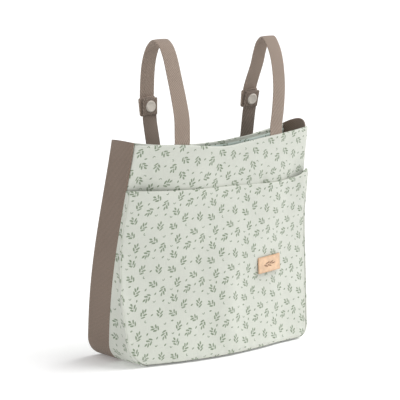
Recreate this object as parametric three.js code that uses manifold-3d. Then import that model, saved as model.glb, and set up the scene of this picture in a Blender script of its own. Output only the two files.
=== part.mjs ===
// Stroller diaper bag: a soft two-panel bag with a webbing band sewn round its sides and base,
// a full-width front pocket and two strap loops that open with a snap.
// Millimetres, +X to the right when the front is seen, +Y to the back, +Z up. The bag stands on its base.
import * as THREE from "three";
import { mergeVertices } from "three/addons/utils/BufferGeometryUtils.js";
import Module from "manifold-3d";

const wasm = await Module();
wasm.setup();

// Body: height, width and the lean of its side band
const RIM_HEIGHT = 329;
const RIM_HALF_WIDTH = 161.5;
const FLARE = 10;
const BAND_WIDTH = 53;
const BAND_THICKNESS = 2;
const LEAN = 0.195;
const BODY_CORNER = 32;
const RIM_BOW = 22;
const FRONT_SAG = 8;
const BACK_SAG = 18;
const BACK_BULGE = 8;

// Exponents that shape how each swelling fades with height
const FLARE_POWER = 1.3;
const BOW_POWER = 3.7;
const WEDGE_POWER = 1.4;
const BELLY_POWER = 0.8;
const SAG_POWER = 6;

// Pocket: its mouth, its wedge gusset and its bulge
const MOUTH_HEIGHT = 260;
const MOUTH_SAG = 5;
const POCKET_CORNER = 36;
const POCKET_TOP_DEPTH = 6.5;
const POCKET_WEDGE = 52;
const WEDGE_START = 200;
const POCKET_BULGE = 22;
const POCKET_BELLY = 12;
const GUSSET_THICKNESS = 1.5;

// Cloth layers, counted from the outside in
const GAP = 0.3;
const SHELL = 1.2;
const WADDING = 3;
const LINING = 0.8;
const SEAM_ALLOWANCE = 32;

// Webbing straps and their snaps
const STRAP_WIDTH = 25;
const STRAP_THICKNESS = 1.6;
const STRAP_SEAM_DEPTH = 24;
const TAB_WIDTH = 29;
const TAB_LENGTH = 27;
const BLOCK_LENGTH = 25;
const SNAP_RADIUS = 8.6;
const SNAP_SPACE = 3.4;
const SHANK_RADIUS = 1.5;
const SNAP_SEGMENTS = 20;
const HOLE_TOOL_LENGTH = 40;

// Leather label on the pocket
const LABEL_WIDTH = 50;
const LABEL_HEIGHT = 24;
const LABEL_THICKNESS = 1.6;
const LABEL_PLACE = { x: 85, z: 128 };

// Each loop: where it is sewn, the (y, height above the rim) points that it passes through from its
// front end to its tab, chosen by hand, and the place and tilt of its snap.
const STRAPS = [
  {
    side: "left",
    x: -88,
    loop: [[-17, 8], [-16, 31], [-9, 58], [2, 91], [12, 118], [22, 133], [35, 139.5], [49, 131], [59, 113], [64, 91]],
    snap: { y: 62, z: 42, tilt: 0 },
  },
  {
    side: "right",
    x: 88,
    loop: [[-17, 8], [-20.5, 30], [-23, 68], [-18, 104], [-10, 124], [3, 138], [14, 131], [22, 114], [27, 98]],
    snap: { y: 43, z: 44, tilt: 14 },
  },
];

const FABRIC = new THREE.MeshStandardMaterial({ name: "fabric", color: 0xd3dccf, roughness: 0.95, metalness: 0 });
const LINING_CLOTH = new THREE.MeshStandardMaterial({ name: "lining", color: 0xc9d6cf, roughness: 0.95, metalness: 0 });
const FILL = new THREE.MeshStandardMaterial({ name: "wadding", color: 0xf2f1ec, roughness: 1, metalness: 0 });
const WEBBING = new THREE.MeshStandardMaterial({ name: "webbing", color: 0x85776a, roughness: 0.9, metalness: 0 });
const LEATHER = new THREE.MeshStandardMaterial({ name: "leather", color: 0xe9bf97, roughness: 0.6, metalness: 0 });
const SNAP = new THREE.MeshStandardMaterial({ name: "snap", color: 0xe0d8cc, roughness: 0.4, metalness: 0 });

const bag = new THREE.Group();

function addPiece(name, geometry, material) {
  const piece = new THREE.Mesh(geometry, material);
  piece.name = name;
  bag.add(piece);
  return piece;
}

// Smallest helpers

const clamp01 = (value) => Math.min(1, Math.max(0, value));

function stepsBetween(first, last, count) {
  return Array.from({ length: count + 1 }, (_, i) => first + ((last - first) * i) / count);
}

// Closed solid between two grids of points: outer(i, j) and inner(i, j), i to columns and j to rows.
function slab(columns, rows, outer, inner) {
  const positions = [];
  const index = [];
  const stride = rows + 1;
  const layer = (columns + 1) * stride;
  for (const place of [outer, inner]) {
    for (let i = 0; i <= columns; i += 1) {
      for (let j = 0; j <= rows; j += 1) {
        positions.push(...place(i, j));
      }
    }
  }
  const quad = (a, b, c, d) => index.push(a, b, c, a, c, d);
  for (let i = 0; i < columns; i += 1) {
    for (let j = 0; j < rows; j += 1) {
      const a = i * stride + j;
      quad(a, a + stride, a + stride + 1, a + 1);
      quad(a + layer, a + layer + 1, a + layer + stride + 1, a + layer + stride);
    }
  }
  for (let i = 0; i < columns; i += 1) {
    const low = i * stride;
    const high = low + rows;
    quad(low, low + layer, low + layer + stride, low + stride);
    quad(high, high + stride, high + layer + stride, high + layer);
  }
  for (let j = 0; j < rows; j += 1) {
    const last = columns * stride + j;
    quad(j, j + 1, j + 1 + layer, j + layer);
    quad(last, last + layer, last + layer + 1, last + 1);
  }
  const geometry = new THREE.BufferGeometry();
  geometry.setAttribute("position", new THREE.Float32BufferAttribute(positions, 3));
  geometry.setIndex(index);
  return facingOut(geometry);
}

// Turns every triangle round if the solid's signed volume is negative.
function facingOut(geometry) {
  const p = geometry.attributes.position;
  const index = geometry.index;
  const [a, b, c] = [new THREE.Vector3(), new THREE.Vector3(), new THREE.Vector3()];
  let volume = 0;
  for (let i = 0; i < index.count; i += 3) {
    a.fromBufferAttribute(p, index.getX(i));
    b.fromBufferAttribute(p, index.getX(i + 1));
    c.fromBufferAttribute(p, index.getX(i + 2));
    volume += a.dot(b.cross(c));
  }
  if (volume < 0) {
    for (let i = 0; i < index.count; i += 3) {
      const second = index.getX(i + 1);
      index.setX(i + 1, index.getX(i + 2));
      index.setX(i + 2, second);
    }
  }
  geometry.computeVertexNormals();
  return geometry;
}

function toSolid(geometry) {
  const bare = geometry.clone();
  bare.deleteAttribute("normal");
  if (bare.attributes.uv) {
    bare.deleteAttribute("uv");
  }
  const merged = mergeVertices(bare, 1e-4);
  return new wasm.Manifold(new wasm.Mesh({
    numProp: 3,
    vertProperties: new Float32Array(merged.attributes.position.array),
    triVerts: new Uint32Array(merged.index.array),
  }));
}

function fromSolid(solid) {
  const mesh = solid.getMesh();
  const geometry = new THREE.BufferGeometry();
  geometry.setAttribute("position", new THREE.Float32BufferAttribute(mesh.vertProperties, 3));
  geometry.setIndex(Array.from(mesh.triVerts));
  geometry.computeVertexNormals();
  return geometry;
}

// Outline of the bag, as functions of the height z

const leanAt = (z) => LEAN * (RIM_HEIGHT - z);
const flareAt = (z) => FLARE * Math.sin(Math.PI * Math.pow(clamp01((RIM_HEIGHT - z) / RIM_HEIGHT), FLARE_POWER));

// Half the width at height z, set in from the outside by inset, with round lower corners.
function halfWidth(z, corner, inset) {
  const radius = corner - inset;
  const rise = Math.min(radius, Math.max(0, corner - z));
  const drop = radius - Math.sqrt(radius * radius - rise * rise);
  return RIM_HALF_WIDTH + flareAt(z) - inset - drop;
}

// Heights of a panel's rows: close together round the lower corner, then even, with one at the seam allowance.
function rowHeights(corner, inset, top) {
  const radius = corner - inset;
  const round = stepsBetween(0, Math.PI / 2, 4).map((angle) => corner - radius * Math.cos(angle));
  return [...round, ...stepsBetween(corner, top - SEAM_ALLOWANCE, 5).slice(1), top];
}

// Body panels

const bowAt = (z) => 3 + (RIM_BOW - 3) * Math.pow(clamp01(z / RIM_HEIGHT), BOW_POWER);
const rimSquareness = (z) => 2 + 2 * clamp01((z - MOUTH_HEIGHT) / (RIM_HEIGHT - MOUTH_HEIGHT));

const frontY = (q, z) => leanAt(z) - bowAt(z) * (1 - Math.pow(Math.abs(q), rimSquareness(z)));
const backBulge = (q, z) => BACK_BULGE * Math.sin((Math.PI * z) / RIM_HEIGHT) * (1 - q * q);
const backY = (q, z) => leanAt(z) + BAND_WIDTH + backBulge(q, z);

// Pocket panel: bulges forward from the front edge of its wedge gusset

const wedgeAt = (z) => POCKET_TOP_DEPTH + POCKET_WEDGE * Math.pow(clamp01(1 - z / WEDGE_START), WEDGE_POWER);
const bellyAt = (z) => POCKET_BULGE + POCKET_BELLY * Math.pow(Math.sin((Math.PI * z) / (MOUTH_HEIGHT + 1)), BELLY_POWER);
const mouthSquareness = (z) => 2 + clamp01((z - WEDGE_START) / (MOUTH_HEIGHT - WEDGE_START));

const pocketSeamY = (z) => leanAt(z) - wedgeAt(z);
const pocketY = (q, z) => pocketSeamY(z) - bellyAt(z) * (1 - Math.pow(Math.abs(q), mouthSquareness(z)));

// Columns of every panel, from its left edge at -1 to its right edge at 1.
const COLUMNS = [-1, -0.96, -0.78, -0.58, -0.3, 0, 0.3, 0.58, 0.78, 0.96, 1];

// One cloth layer of a panel: surface(q, z) is the panel's outer face, and depth and thickness go inwards.
// A trimmed layer leaves out the outermost row and column all round, where the seams are.
function panelLayer(panel, depth, thickness, trim) {
  const { surface, inwards, corner, inset, top, sag } = panel;
  const heights = rowHeights(corner, inset, top);
  const rows = heights.slice(trim, heights.length - trim);
  const columns = COLUMNS.slice(trim, COLUMNS.length - trim);
  const place = (offset) => (i, j) => {
    const q = columns[i];
    const row = rows[j];
    const z = row - sag * (1 - q * q) * Math.pow(row / top, SAG_POWER);
    return [q * halfWidth(row, corner, inset), surface(q, row) + inwards * offset, z];
  };
  return slab(columns.length - 1, rows.length - 1, place(depth), place(depth + thickness));
}

function addPanel(prefix, panel) {
  const waddingDepth = SHELL + GAP;
  const liningDepth = waddingDepth + WADDING + GAP;
  addPiece(`${prefix}_shell`, panelLayer(panel, 0, SHELL, 0), FABRIC);
  addPiece(`${prefix}_wadding`, panelLayer(panel, waddingDepth, WADDING, 1), FILL);
  addPiece(`${prefix}_lining`, panelLayer(panel, liningDepth, LINING, 0), LINING_CLOTH);
}

const BODY_PANEL = { corner: BODY_CORNER, inset: BAND_THICKNESS + GAP, top: RIM_HEIGHT };
const FRONT_PANEL = { ...BODY_PANEL, surface: frontY, inwards: 1, sag: FRONT_SAG };
const BACK_PANEL = { ...BODY_PANEL, surface: backY, inwards: -1, sag: BACK_SAG };

const POCKET_PANEL = {
  surface: pocketY,
  inwards: 1,
  corner: POCKET_CORNER,
  inset: GUSSET_THICKNESS + GAP,
  top: MOUTH_HEIGHT,
  sag: MOUTH_SAG,
};

// Bands: strips that run down the left side, under the base and up the right side

// Stations of a strip's outline, left top to right top, as (x, z, q), where q is 1 at the panel's edge.
function outlineStations(corner, inset, top) {
  const heights = rowHeights(corner, inset, top).reverse();
  const left = heights.map((z) => [-halfWidth(z, corner, inset), z, -1]);
  const right = heights.map((z) => [halfWidth(z, corner, inset), z, 1]).reverse();
  const base = COLUMNS.slice(1, -1).map((q) => [q * halfWidth(inset, corner, inset), inset, q]);
  return [...left, ...base, ...right];
}

// Strip between a front edge and a back edge, each with its own corner radius and y(q, z).
function strip({ front, back, inset, thickness, top }) {
  const edges = [front, back].map((edge) => ({
    ...edge,
    outer: outlineStations(edge.corner, inset, top),
    inner: outlineStations(edge.corner, inset + thickness, top),
  }));
  const place = (face) => (i, j) => {
    const edge = edges[j];
    const [x, z] = edge[face][i];
    const [, height, q] = edge.outer[i];
    return [x, edge.y(q, height), z];
  };
  return slab(edges[0].outer.length - 1, 1, place("outer"), place("inner"));
}

function addBodyBand() {
  const front = { corner: BODY_CORNER, y: (q, z) => leanAt(z) };
  const back = { corner: BODY_CORNER, y: (q, z) => leanAt(z) + BAND_WIDTH };
  addPiece("gusset_band", strip({ front, back, inset: 0, thickness: BAND_THICKNESS, top: RIM_HEIGHT }), WEBBING);
  const panelDepth = SHELL + WADDING + LINING + 3 * GAP;
  const liningFront = { corner: BODY_CORNER, y: (q, z) => leanAt(z) + panelDepth };
  const liningBack = { corner: BODY_CORNER, y: (q, z) => leanAt(z) + BAND_WIDTH - panelDepth };
  const liningInset = BAND_THICKNESS + GAP;
  addPiece("gusset_band_lining", strip({
    front: liningFront,
    back: liningBack,
    inset: liningInset,
    thickness: LINING,
    top: RIM_HEIGHT,
  }), LINING_CLOTH);
}

function addPocketGusset() {
  const front = { corner: POCKET_CORNER, y: pocketY };
  const back = { corner: BODY_CORNER, y: (q, z) => leanAt(z) - GAP };
  addPiece("pocket_gusset", strip({ front, back, inset: 0, thickness: GUSSET_THICKNESS, top: MOUTH_HEIGHT }), FABRIC);
}

// Straps

function smoothLine(points) {
  return new THREE.CatmullRomCurve3(points.map(([y, z]) => new THREE.Vector3(0, y, z)), false, "centripetal");
}

// Flat strap along the part of a line between two fractions of its length, centred on x.
// The line's first end is turned to lie along a panel whose y grows by slope for each unit of x.
function strapAlong({ x, line, from, to, steps, slope }) {
  const half = STRAP_THICKNESS / 2;
  const place = (side) => (i, j) => {
    const at = from + ((to - from) * i) / steps;
    const middle = line.getPointAt(at);
    const along = line.getTangentAt(at);
    const across = (j - 0.5) * STRAP_WIDTH;
    const turn = across * slope * Math.max(0, 1 - Math.pow(1.5 * at, 2));
    return [x + across, middle.y - side * half * along.z + turn, middle.z + side * half * along.y];
  };
  return slab(steps, 1, place(1), place(-1));
}

// Fraction of a line's length where it is highest.
function crestOf(line) {
  const fractions = stepsBetween(0, 1, 200);
  return fractions.reduce((best, at) => (line.getPointAt(at).z > line.getPointAt(best).z ? at : best), 0);
}

// Point n outwards and t upwards from the snap's centre, in the snap's own turned frame.
function fromSnap(snap, n, t) {
  const angle = THREE.MathUtils.degToRad(snap.tilt);
  const y = snap.y + n * Math.cos(angle) - t * Math.sin(angle);
  const z = RIM_HEIGHT + snap.z + n * Math.sin(angle) + t * Math.cos(angle);
  return [y, z];
}

// Middle of the space between a body panel's shell and lining, where a strap end is sewn in, at x and z.
function seamAt(panel, x, z) {
  const q = x / halfWidth(z, BODY_CORNER, BAND_THICKNESS + GAP);
  const row = z + panel.sag * (1 - q * q) * Math.pow(z / RIM_HEIGHT, SAG_POWER);
  const depth = SHELL + (2 * GAP + WADDING) / 2;
  return panel.surface(q, Math.min(row, RIM_HEIGHT)) + panel.inwards * depth;
}

// Points of a sewn strap end at depths below the rim, and the panel's slope across the strap there.
function sewnEnd(panel, x, depths) {
  const points = depths.map((depth) => [seamAt(panel, x, RIM_HEIGHT - depth), RIM_HEIGHT - depth]);
  const [left, right] = [x - STRAP_WIDTH / 2, x + STRAP_WIDTH / 2].map((edge) => seamAt(panel, edge, points[1][1]));
  return { points, slope: (right - left) / STRAP_WIDTH };
}

function snapHole(strap) {
  const tool = new THREE.CylinderGeometry(SHANK_RADIUS + GAP, SHANK_RADIUS + GAP, HOLE_TOOL_LENGTH, SNAP_SEGMENTS);
  tool.rotateX(THREE.MathUtils.degToRad(strap.snap.tilt));
  const [y, z] = fromSnap(strap.snap, 0, 0);
  tool.translate(strap.x, y, z);
  return toSolid(tool);
}

// Flat block of doubled webbing between n and n + thickness, centred on the snap.
function snapBlock(strap, n, thickness, width, length) {
  const block = new THREE.BoxGeometry(width, thickness, length);
  block.rotateX(THREE.MathUtils.degToRad(strap.snap.tilt));
  const [y, z] = fromSnap(strap.snap, n + thickness / 2, 0);
  block.translate(strap.x, y, z);
  return toSolid(block);
}

// Turned snap part: profile of (radius, n) points round the snap's axis.
function snapPart(strap, profile) {
  const part = new THREE.LatheGeometry(profile.map(([radius, n]) => new THREE.Vector2(radius, n)), SNAP_SEGMENTS);
  part.rotateX(THREE.MathUtils.degToRad(strap.snap.tilt));
  const [y, z] = fromSnap(strap.snap, 0, 0);
  part.translate(strap.x, y, z);
  return fromSolid(toSolid(part));
}

// The loop is one length of webbing. It is split at its crest, where it bends as the snap opens.
function addLoop(strap) {
  const sewn = sewnEnd(FRONT_PANEL, strap.x, [STRAP_SEAM_DEPTH, 8]);
  const tabN = SNAP_SPACE / 2;
  const tabThickness = 2 * STRAP_THICKNESS;
  const middle = tabN + tabThickness / 2;
  const line = smoothLine([
    ...sewn.points,
    ...strap.loop.map(([y, z]) => [y, RIM_HEIGHT + z]),
    fromSnap(strap.snap, middle, TAB_LENGTH / 2 + 4),
    fromSnap(strap.snap, middle, 0),
  ]);
  const crest = crestOf(line);
  const split = GAP / line.getLength();
  const front = strapAlong({ x: strap.x, line, from: 0, to: crest, steps: 18, slope: sewn.slope });
  addPiece(`${strap.side}_strap_front`, front, WEBBING);
  const leg = toSolid(strapAlong({ x: strap.x, line, from: crest + split, to: 1, steps: 14, slope: 0 }));
  const tab = snapBlock(strap, tabN, tabThickness, TAB_WIDTH, TAB_LENGTH);
  addPiece(`${strap.side}_strap_rear`, fromSolid(leg.add(tab).subtract(snapHole(strap))), WEBBING);
}

// The short strap is one length of webbing. It is split at the rim, where it folds over the back panel.
function addShortStrap(strap) {
  const blockThickness = 2 * STRAP_THICKNESS;
  const blockN = -SNAP_SPACE / 2 - blockThickness;
  const outer = -(SNAP_SPACE + STRAP_THICKNESS) / 2;
  const sewn = sewnEnd(BACK_PANEL, strap.x, [STRAP_SEAM_DEPTH + 12, 24, 13, 8]);
  const line = smoothLine([
    ...sewn.points,
    fromSnap(strap.snap, outer, -BLOCK_LENGTH / 2 - 4),
    fromSnap(strap.snap, outer, 0),
  ]);
  const length = line.getLength();
  const rim = (STRAP_SEAM_DEPTH + 1) / length;
  const end = strapAlong({ x: strap.x, line, from: 0, to: rim, steps: 4, slope: sewn.slope });
  addPiece(`${strap.side}_short_strap_sewn_end`, end, WEBBING);
  const from = rim + GAP / length;
  const leg = toSolid(strapAlong({ x: strap.x, line, from, to: 1, steps: 10, slope: sewn.slope }));
  const block = snapBlock(strap, blockN, blockThickness, STRAP_WIDTH, BLOCK_LENGTH);
  addPiece(`${strap.side}_short_strap`, fromSolid(leg.add(block).subtract(snapHole(strap))), WEBBING);
}

function addSnap(strap) {
  const face = SNAP_SPACE / 2;
  const cloth = 2 * STRAP_THICKNESS;
  const outside = face + cloth + GAP;
  const inside = -outside;
  const capHeight = 2;
  addPiece(`${strap.side}_snap_inner_cap`, snapPart(strap, [
    [0, inside - capHeight + 0.5],
    [SNAP_RADIUS - 2, inside - capHeight + 0.3],
    [SNAP_RADIUS - 0.8, inside - capHeight],
    [SNAP_RADIUS, inside - 0.8],
    [SNAP_RADIUS - 0.4, inside],
    [SHANK_RADIUS, inside],
    [SHANK_RADIUS, -face - 0.4],
    [0, -face - 0.4],
  ]), SNAP);
  addPiece(`${strap.side}_snap_stud`, snapPart(strap, [
    [0, -face + 0.3],
    [6.2, -face + 0.3],
    [6.2, -face + 1],
    [2.4, -face + 1],
    [2.9, 0.6],
    [2.4, 1],
    [0, 1],
  ]), SNAP);
  addPiece(`${strap.side}_snap_socket`, snapPart(strap, [
    [0, 1.3],
    [3.3, 1.3],
    [3.3, -0.3],
    [6.2, -0.3],
    [6.2, face - 0.3],
    [0, face - 0.3],
  ]), SNAP);
  addPiece(`${strap.side}_snap_outer_cap`, snapPart(strap, [
    [0, face + 0.4],
    [SHANK_RADIUS, face + 0.4],
    [SHANK_RADIUS, outside],
    [SNAP_RADIUS - 0.4, outside],
    [SNAP_RADIUS, outside + 0.8],
    [SNAP_RADIUS - 0.8, outside + capHeight],
    [SNAP_RADIUS - 2, outside + capHeight - 0.3],
    [0, outside + capHeight - 0.5],
  ]), SNAP);
}

function addLabel() {
  const columns = 6;
  const rows = 2;
  const place = (lift) => (i, j) => {
    const x = LABEL_PLACE.x + LABEL_WIDTH * (i / columns - 0.5);
    const z = LABEL_PLACE.z + LABEL_HEIGHT * (j / rows - 0.5);
    const q = x / halfWidth(z, POCKET_CORNER, GUSSET_THICKNESS + GAP);
    return [x, pocketY(q, z) - lift, z];
  };
  addPiece("label", slab(columns, rows, place(0.7), place(0.7 + LABEL_THICKNESS)), LEATHER);
}

addPanel("front_panel", FRONT_PANEL);
addPanel("back_panel", BACK_PANEL);
addPanel("pocket_panel", POCKET_PANEL);
addBodyBand();
addPocketGusset();
addLabel();
for (const strap of STRAPS) {
  addLoop(strap);
  addShortStrap(strap);
  addSnap(strap);
}

// The origin is the middle of the bag's box, on its base.
const bounds = new THREE.Box3().setFromObject(bag);
bag.position.y = -(bounds.min.y + bounds.max.y) / 2;

export default bag;
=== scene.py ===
import math

import bmesh
import bpy
import numpy as np
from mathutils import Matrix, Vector


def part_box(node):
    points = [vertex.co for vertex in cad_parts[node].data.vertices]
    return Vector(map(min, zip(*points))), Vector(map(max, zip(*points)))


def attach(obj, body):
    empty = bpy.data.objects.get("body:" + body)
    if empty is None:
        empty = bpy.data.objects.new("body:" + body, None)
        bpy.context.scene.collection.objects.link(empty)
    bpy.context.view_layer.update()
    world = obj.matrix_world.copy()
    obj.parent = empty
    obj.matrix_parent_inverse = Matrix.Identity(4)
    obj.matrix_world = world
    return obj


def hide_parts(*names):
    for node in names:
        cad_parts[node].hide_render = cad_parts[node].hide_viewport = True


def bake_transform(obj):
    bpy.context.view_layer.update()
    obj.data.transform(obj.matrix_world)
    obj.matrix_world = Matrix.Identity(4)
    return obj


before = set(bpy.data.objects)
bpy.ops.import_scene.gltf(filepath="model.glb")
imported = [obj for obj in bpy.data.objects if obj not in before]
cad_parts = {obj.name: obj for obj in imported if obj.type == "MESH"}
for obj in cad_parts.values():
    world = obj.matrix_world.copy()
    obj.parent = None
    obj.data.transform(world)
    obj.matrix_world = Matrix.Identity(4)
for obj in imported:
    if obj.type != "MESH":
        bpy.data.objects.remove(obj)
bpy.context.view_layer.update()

# ---------------------------------------------------------------- dimensions, metres, from the frame
BAND_LOW, BAND_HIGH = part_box("gusset_band")
FRONT_Y = BAND_LOW[1]
RIM_Z = BAND_HIGH[2]
FLARE = 0.010
RIM_HALF = BAND_HIGH[0] - FLARE
MOUTH_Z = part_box("pocket_gusset")[1][2]
BAND_WIDTH = 0.053
BAND_THICKNESS = 0.002
LEAN = 0.195
BODY_CORNER = 0.032
RIM_BOW = 0.022
BASE_BOW = 0.003
FRONT_SAG = 0.008
BACK_SAG = 0.018
BACK_BULGE = 0.008
MOUTH_SAG = 0.005
POCKET_CORNER = 0.036
RIGHT_POCKET_CORNER = 0.022
POCKET_TOP_DEPTH = 0.0065
POCKET_WEDGE = 0.052
WEDGE_START = 0.200
POCKET_BULGE = 0.022
POCKET_BELLY = 0.012
POCKET_TUCK = 0.010
GUSSET_THICKNESS = 0.0015
CLEAR = 0.0003
PANEL_DEPTH = 0.0056
LINING = 0.0008
LINING_BELOW_TOP = 0.003
STRAP_WIDTH = 0.025
STRAP_THICKNESS = 0.0016
HEM_DEPTH = 0.024
LABEL_WIDTH, LABEL_HEIGHT, LABEL_THICKNESS = 0.050, 0.024, 0.0016
LABEL_GAP = 0.0007
LABEL_LEAN = 1.2
MM = 0.001

# Exponents of the outline's curves, as in the CAD.
FLARE_POWER = 1.3
BOW_POWER = 3.7
WEDGE_POWER = 1.4
BELLY_POWER = 0.8
SAG_POWER = 6

# ---------------------------------------------------------------- stage and simulation
CAMERA_AZIMUTH = -38.6
CAMERA_ELEVATION = 9.2
CAMERA_DISTANCE = 2.8
VIEW_WIDTH = 0.5933
LOOK_ASIDE = -0.0043
LOOK_HEIGHT = 0.2263
SENSOR = 36
FLOOR_SIZE = 30.0
FLOOR_WHITE = 0.97
FLOOR_GLOW = 0.18
SKY_STRENGTH = 0.51
KEY_PLACE = (1.15, -0.8, 2.3)
KEY_ENERGY = 2.15
KEY_ANGLE = 50
CLOTH_FRAMES = 24
SMOOTHING_PASSES = 6
GATHER_START = 0.005


# ---------------------------------------------------------------- outline of the bag, as in the CAD
def lean_at(z):
    return FRONT_Y + LEAN * (RIM_Z - z)


def flare_at(z):
    share = np.clip((RIM_Z - z) / RIM_Z, 0, 1)
    return FLARE * np.sin(np.pi * share ** FLARE_POWER)


def half_width(z, corner, inset):
    radius = corner - inset
    rise = np.clip(corner - z, 0, radius)
    return RIM_HALF + flare_at(z) - inset - (radius - np.sqrt(radius ** 2 - rise ** 2))


def bow_at(z):
    return BASE_BOW + (RIM_BOW - BASE_BOW) * np.clip(z / RIM_Z, 0, 1) ** BOW_POWER


def front_y(q, z):
    squareness = 2 + 2 * np.clip((z - MOUTH_Z) / (RIM_Z - MOUTH_Z), 0, 1)
    return lean_at(z) - bow_at(z) * (1 - np.abs(q) ** squareness)


def back_y(q, z):
    return lean_at(z) + BAND_WIDTH + BACK_BULGE * np.sin(np.pi * z / RIM_Z) * (1 - q * q)


def pocket_seam_y(z):
    wedge = POCKET_TOP_DEPTH + POCKET_WEDGE * np.clip(1 - z / WEDGE_START, 0, 1) ** WEDGE_POWER
    return lean_at(z) - wedge


def pocket_y(q, z):
    belly = POCKET_BULGE + POCKET_BELLY * np.sin(np.pi * z / (MOUTH_Z + MM)) ** BELLY_POWER
    squareness = 2 + np.clip((z - WEDGE_START) / (MOUTH_Z - WEDGE_START), 0, 1)
    return pocket_seam_y(z) - belly * (1 - np.abs(q) ** squareness)


# ---------------------------------------------------------------- camera, lights and stage
def add_object(name, data):
    obj = bpy.data.objects.new(name, data)
    bpy.context.scene.collection.objects.link(obj)
    return obj


def look_at(obj, target):
    direction = Vector(target) - obj.location
    obj.rotation_euler = direction.to_track_quat("-Z", "Y").to_euler()


def add_camera():
    """Camera at the photo's viewing angle; its lens spans VIEW_WIDTH at the target."""
    azimuth, elevation = math.radians(CAMERA_AZIMUTH), math.radians(CAMERA_ELEVATION)
    target = Vector((LOOK_ASIDE * math.cos(azimuth), LOOK_ASIDE * math.sin(azimuth), LOOK_HEIGHT))
    data = bpy.data.cameras.new("camera")
    data.sensor_width = SENSOR
    data.lens = SENSOR * CAMERA_DISTANCE / VIEW_WIDTH
    camera = add_object("camera", data)
    toward = Vector((
        math.sin(azimuth) * math.cos(elevation),
        -math.cos(azimuth) * math.cos(elevation),
        math.sin(elevation),
    ))
    camera.location = target + toward * CAMERA_DISTANCE
    look_at(camera, target)
    bpy.context.scene.camera = camera


def add_stage():
    """Pale floor, even sky light and one soft key light."""
    mesh = bpy.data.meshes.new("floor")
    corners = [(FLOOR_SIZE * x, FLOOR_SIZE * y, 0) for x, y in ((-1, -1), (1, -1), (1, 1), (-1, 1))]
    mesh.from_pydata(corners, [], [(0, 1, 2, 3)])
    floor = add_object("floor", mesh)
    material = bpy.data.materials.new("floor")
    material.use_nodes = True
    shader = material.node_tree.nodes["Principled BSDF"]
    shader.inputs["Base Color"].default_value = (FLOOR_WHITE, FLOOR_WHITE, FLOOR_WHITE, 1)
    shader.inputs["Roughness"].default_value = 0.9
    shader.inputs["Emission Color"].default_value = (1, 1, 1, 1)
    shader.inputs["Emission Strength"].default_value = FLOOR_GLOW
    mesh.materials.append(material)
    world = bpy.data.worlds.new("studio")
    world.use_nodes = True
    world.node_tree.nodes["Background"].inputs["Color"].default_value = (1, 1, 1, 1)
    world.node_tree.nodes["Background"].inputs["Strength"].default_value = SKY_STRENGTH
    bpy.context.scene.world = world
    data = bpy.data.lights.new("key", "SUN")
    data.energy = KEY_ENERGY
    data.angle = math.radians(KEY_ANGLE)
    key = add_object("key", data)
    key.location = KEY_PLACE
    look_at(key, (0, 0, 0.1))
    bpy.context.scene.view_settings.view_transform = "Standard"


# ---------------------------------------------------------------- meshes from grids
def unit(v):
    return v / np.maximum(np.linalg.norm(v, axis=-1, keepdims=True), 1e-12)


def grid_normals(points):
    along = np.gradient(points, axis=0)
    across = np.gradient(points, axis=1)
    return unit(np.cross(along, across))


def grid_lengths(points):
    """Distances along the two directions of a grid, from its middle column and its first row."""
    step_u = np.linalg.norm(np.diff(points, axis=0), axis=-1)
    step_v = np.linalg.norm(np.diff(points, axis=1), axis=-1)
    u = np.concatenate([np.zeros((1, points.shape[1])), np.cumsum(step_u, axis=0)])
    v = np.concatenate([np.zeros((points.shape[0], 1)), np.cumsum(step_v, axis=1)], axis=1)
    u = u - u[points.shape[0] // 2]
    return np.stack([u, v], axis=-1)


def object_from(name, verts, faces, cloth, material):
    mesh = bpy.data.meshes.new(name)
    mesh.from_pydata(verts.tolist(), [], faces.tolist())
    attribute = mesh.attributes.new("cloth", "FLOAT_VECTOR", "POINT")
    flat = np.zeros((len(verts), 3), np.float32)
    flat[:, :2] = cloth
    attribute.data.foreach_set("vector", flat.ravel())
    mesh.polygons.foreach_set("use_smooth", [True] * len(mesh.polygons))
    mesh.materials.append(material)
    mesh.update()
    return add_object(name, mesh)


def quads(a, b, c, d):
    return np.stack([a, b, c, d], axis=-1).reshape(-1, 4)


def closed_slab(name, outer, inner, cloth, material, joined=None):
    """Mesh between two grids of one size; no wall on a side where it is joined to its other half."""
    m, n = outer.shape[:2]
    front = np.arange(m * n).reshape(m, n)
    back = front + m * n
    parts = [
        quads(front[:-1, :-1], front[1:, :-1], front[1:, 1:], front[:-1, 1:]),
        quads(back[:-1, :-1], back[:-1, 1:], back[1:, 1:], back[1:, :-1]),
        quads(front[:-1, 0], back[:-1, 0], back[1:, 0], front[1:, 0]),
        quads(front[:-1, -1], front[1:, -1], back[1:, -1], back[:-1, -1]),
    ]
    if joined != "first":
        parts.append(quads(front[0, :-1], front[0, 1:], back[0, 1:], back[0, :-1]))
    if joined != "last":
        parts.append(quads(front[-1, :-1], back[-1, :-1], back[-1, 1:], front[-1, 1:]))
    faces = np.concatenate(parts)
    verts = np.concatenate([outer.reshape(-1, 3), inner.reshape(-1, 3)])
    corners = verts[faces]
    volume = np.sum(corners[:, 0] * np.cross(corners[:, 1], corners[:, 2]))
    volume += np.sum(corners[:, 0] * np.cross(corners[:, 2], corners[:, 3]))
    if volume < 0:
        faces = faces[:, ::-1]
    return object_from(name, verts, faces, np.concatenate([cloth.reshape(-1, 2)] * 2), material)


# ---------------------------------------------------------------- soft detail that every panel shares
def ripple(points, scale, seed):
    """Smooth waves of height about 1, from a few sine waves with seeded directions."""
    random = np.random.default_rng(seed)
    total = np.zeros(points.shape[:2])
    for _ in range(9):
        direction = random.normal(size=3)
        direction /= np.linalg.norm(direction)
        length = scale * random.uniform(0.6, 1.7)
        total += np.sin(points @ direction * (2 * np.pi / length) + random.uniform(0, 2 * np.pi))
    return total / 9 ** 0.5


def smoothed(share):
    """Share between 0 and 1, with a level start and end."""
    share = np.clip(share, 0, 1)
    return share * share * (3 - 2 * share)


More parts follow.
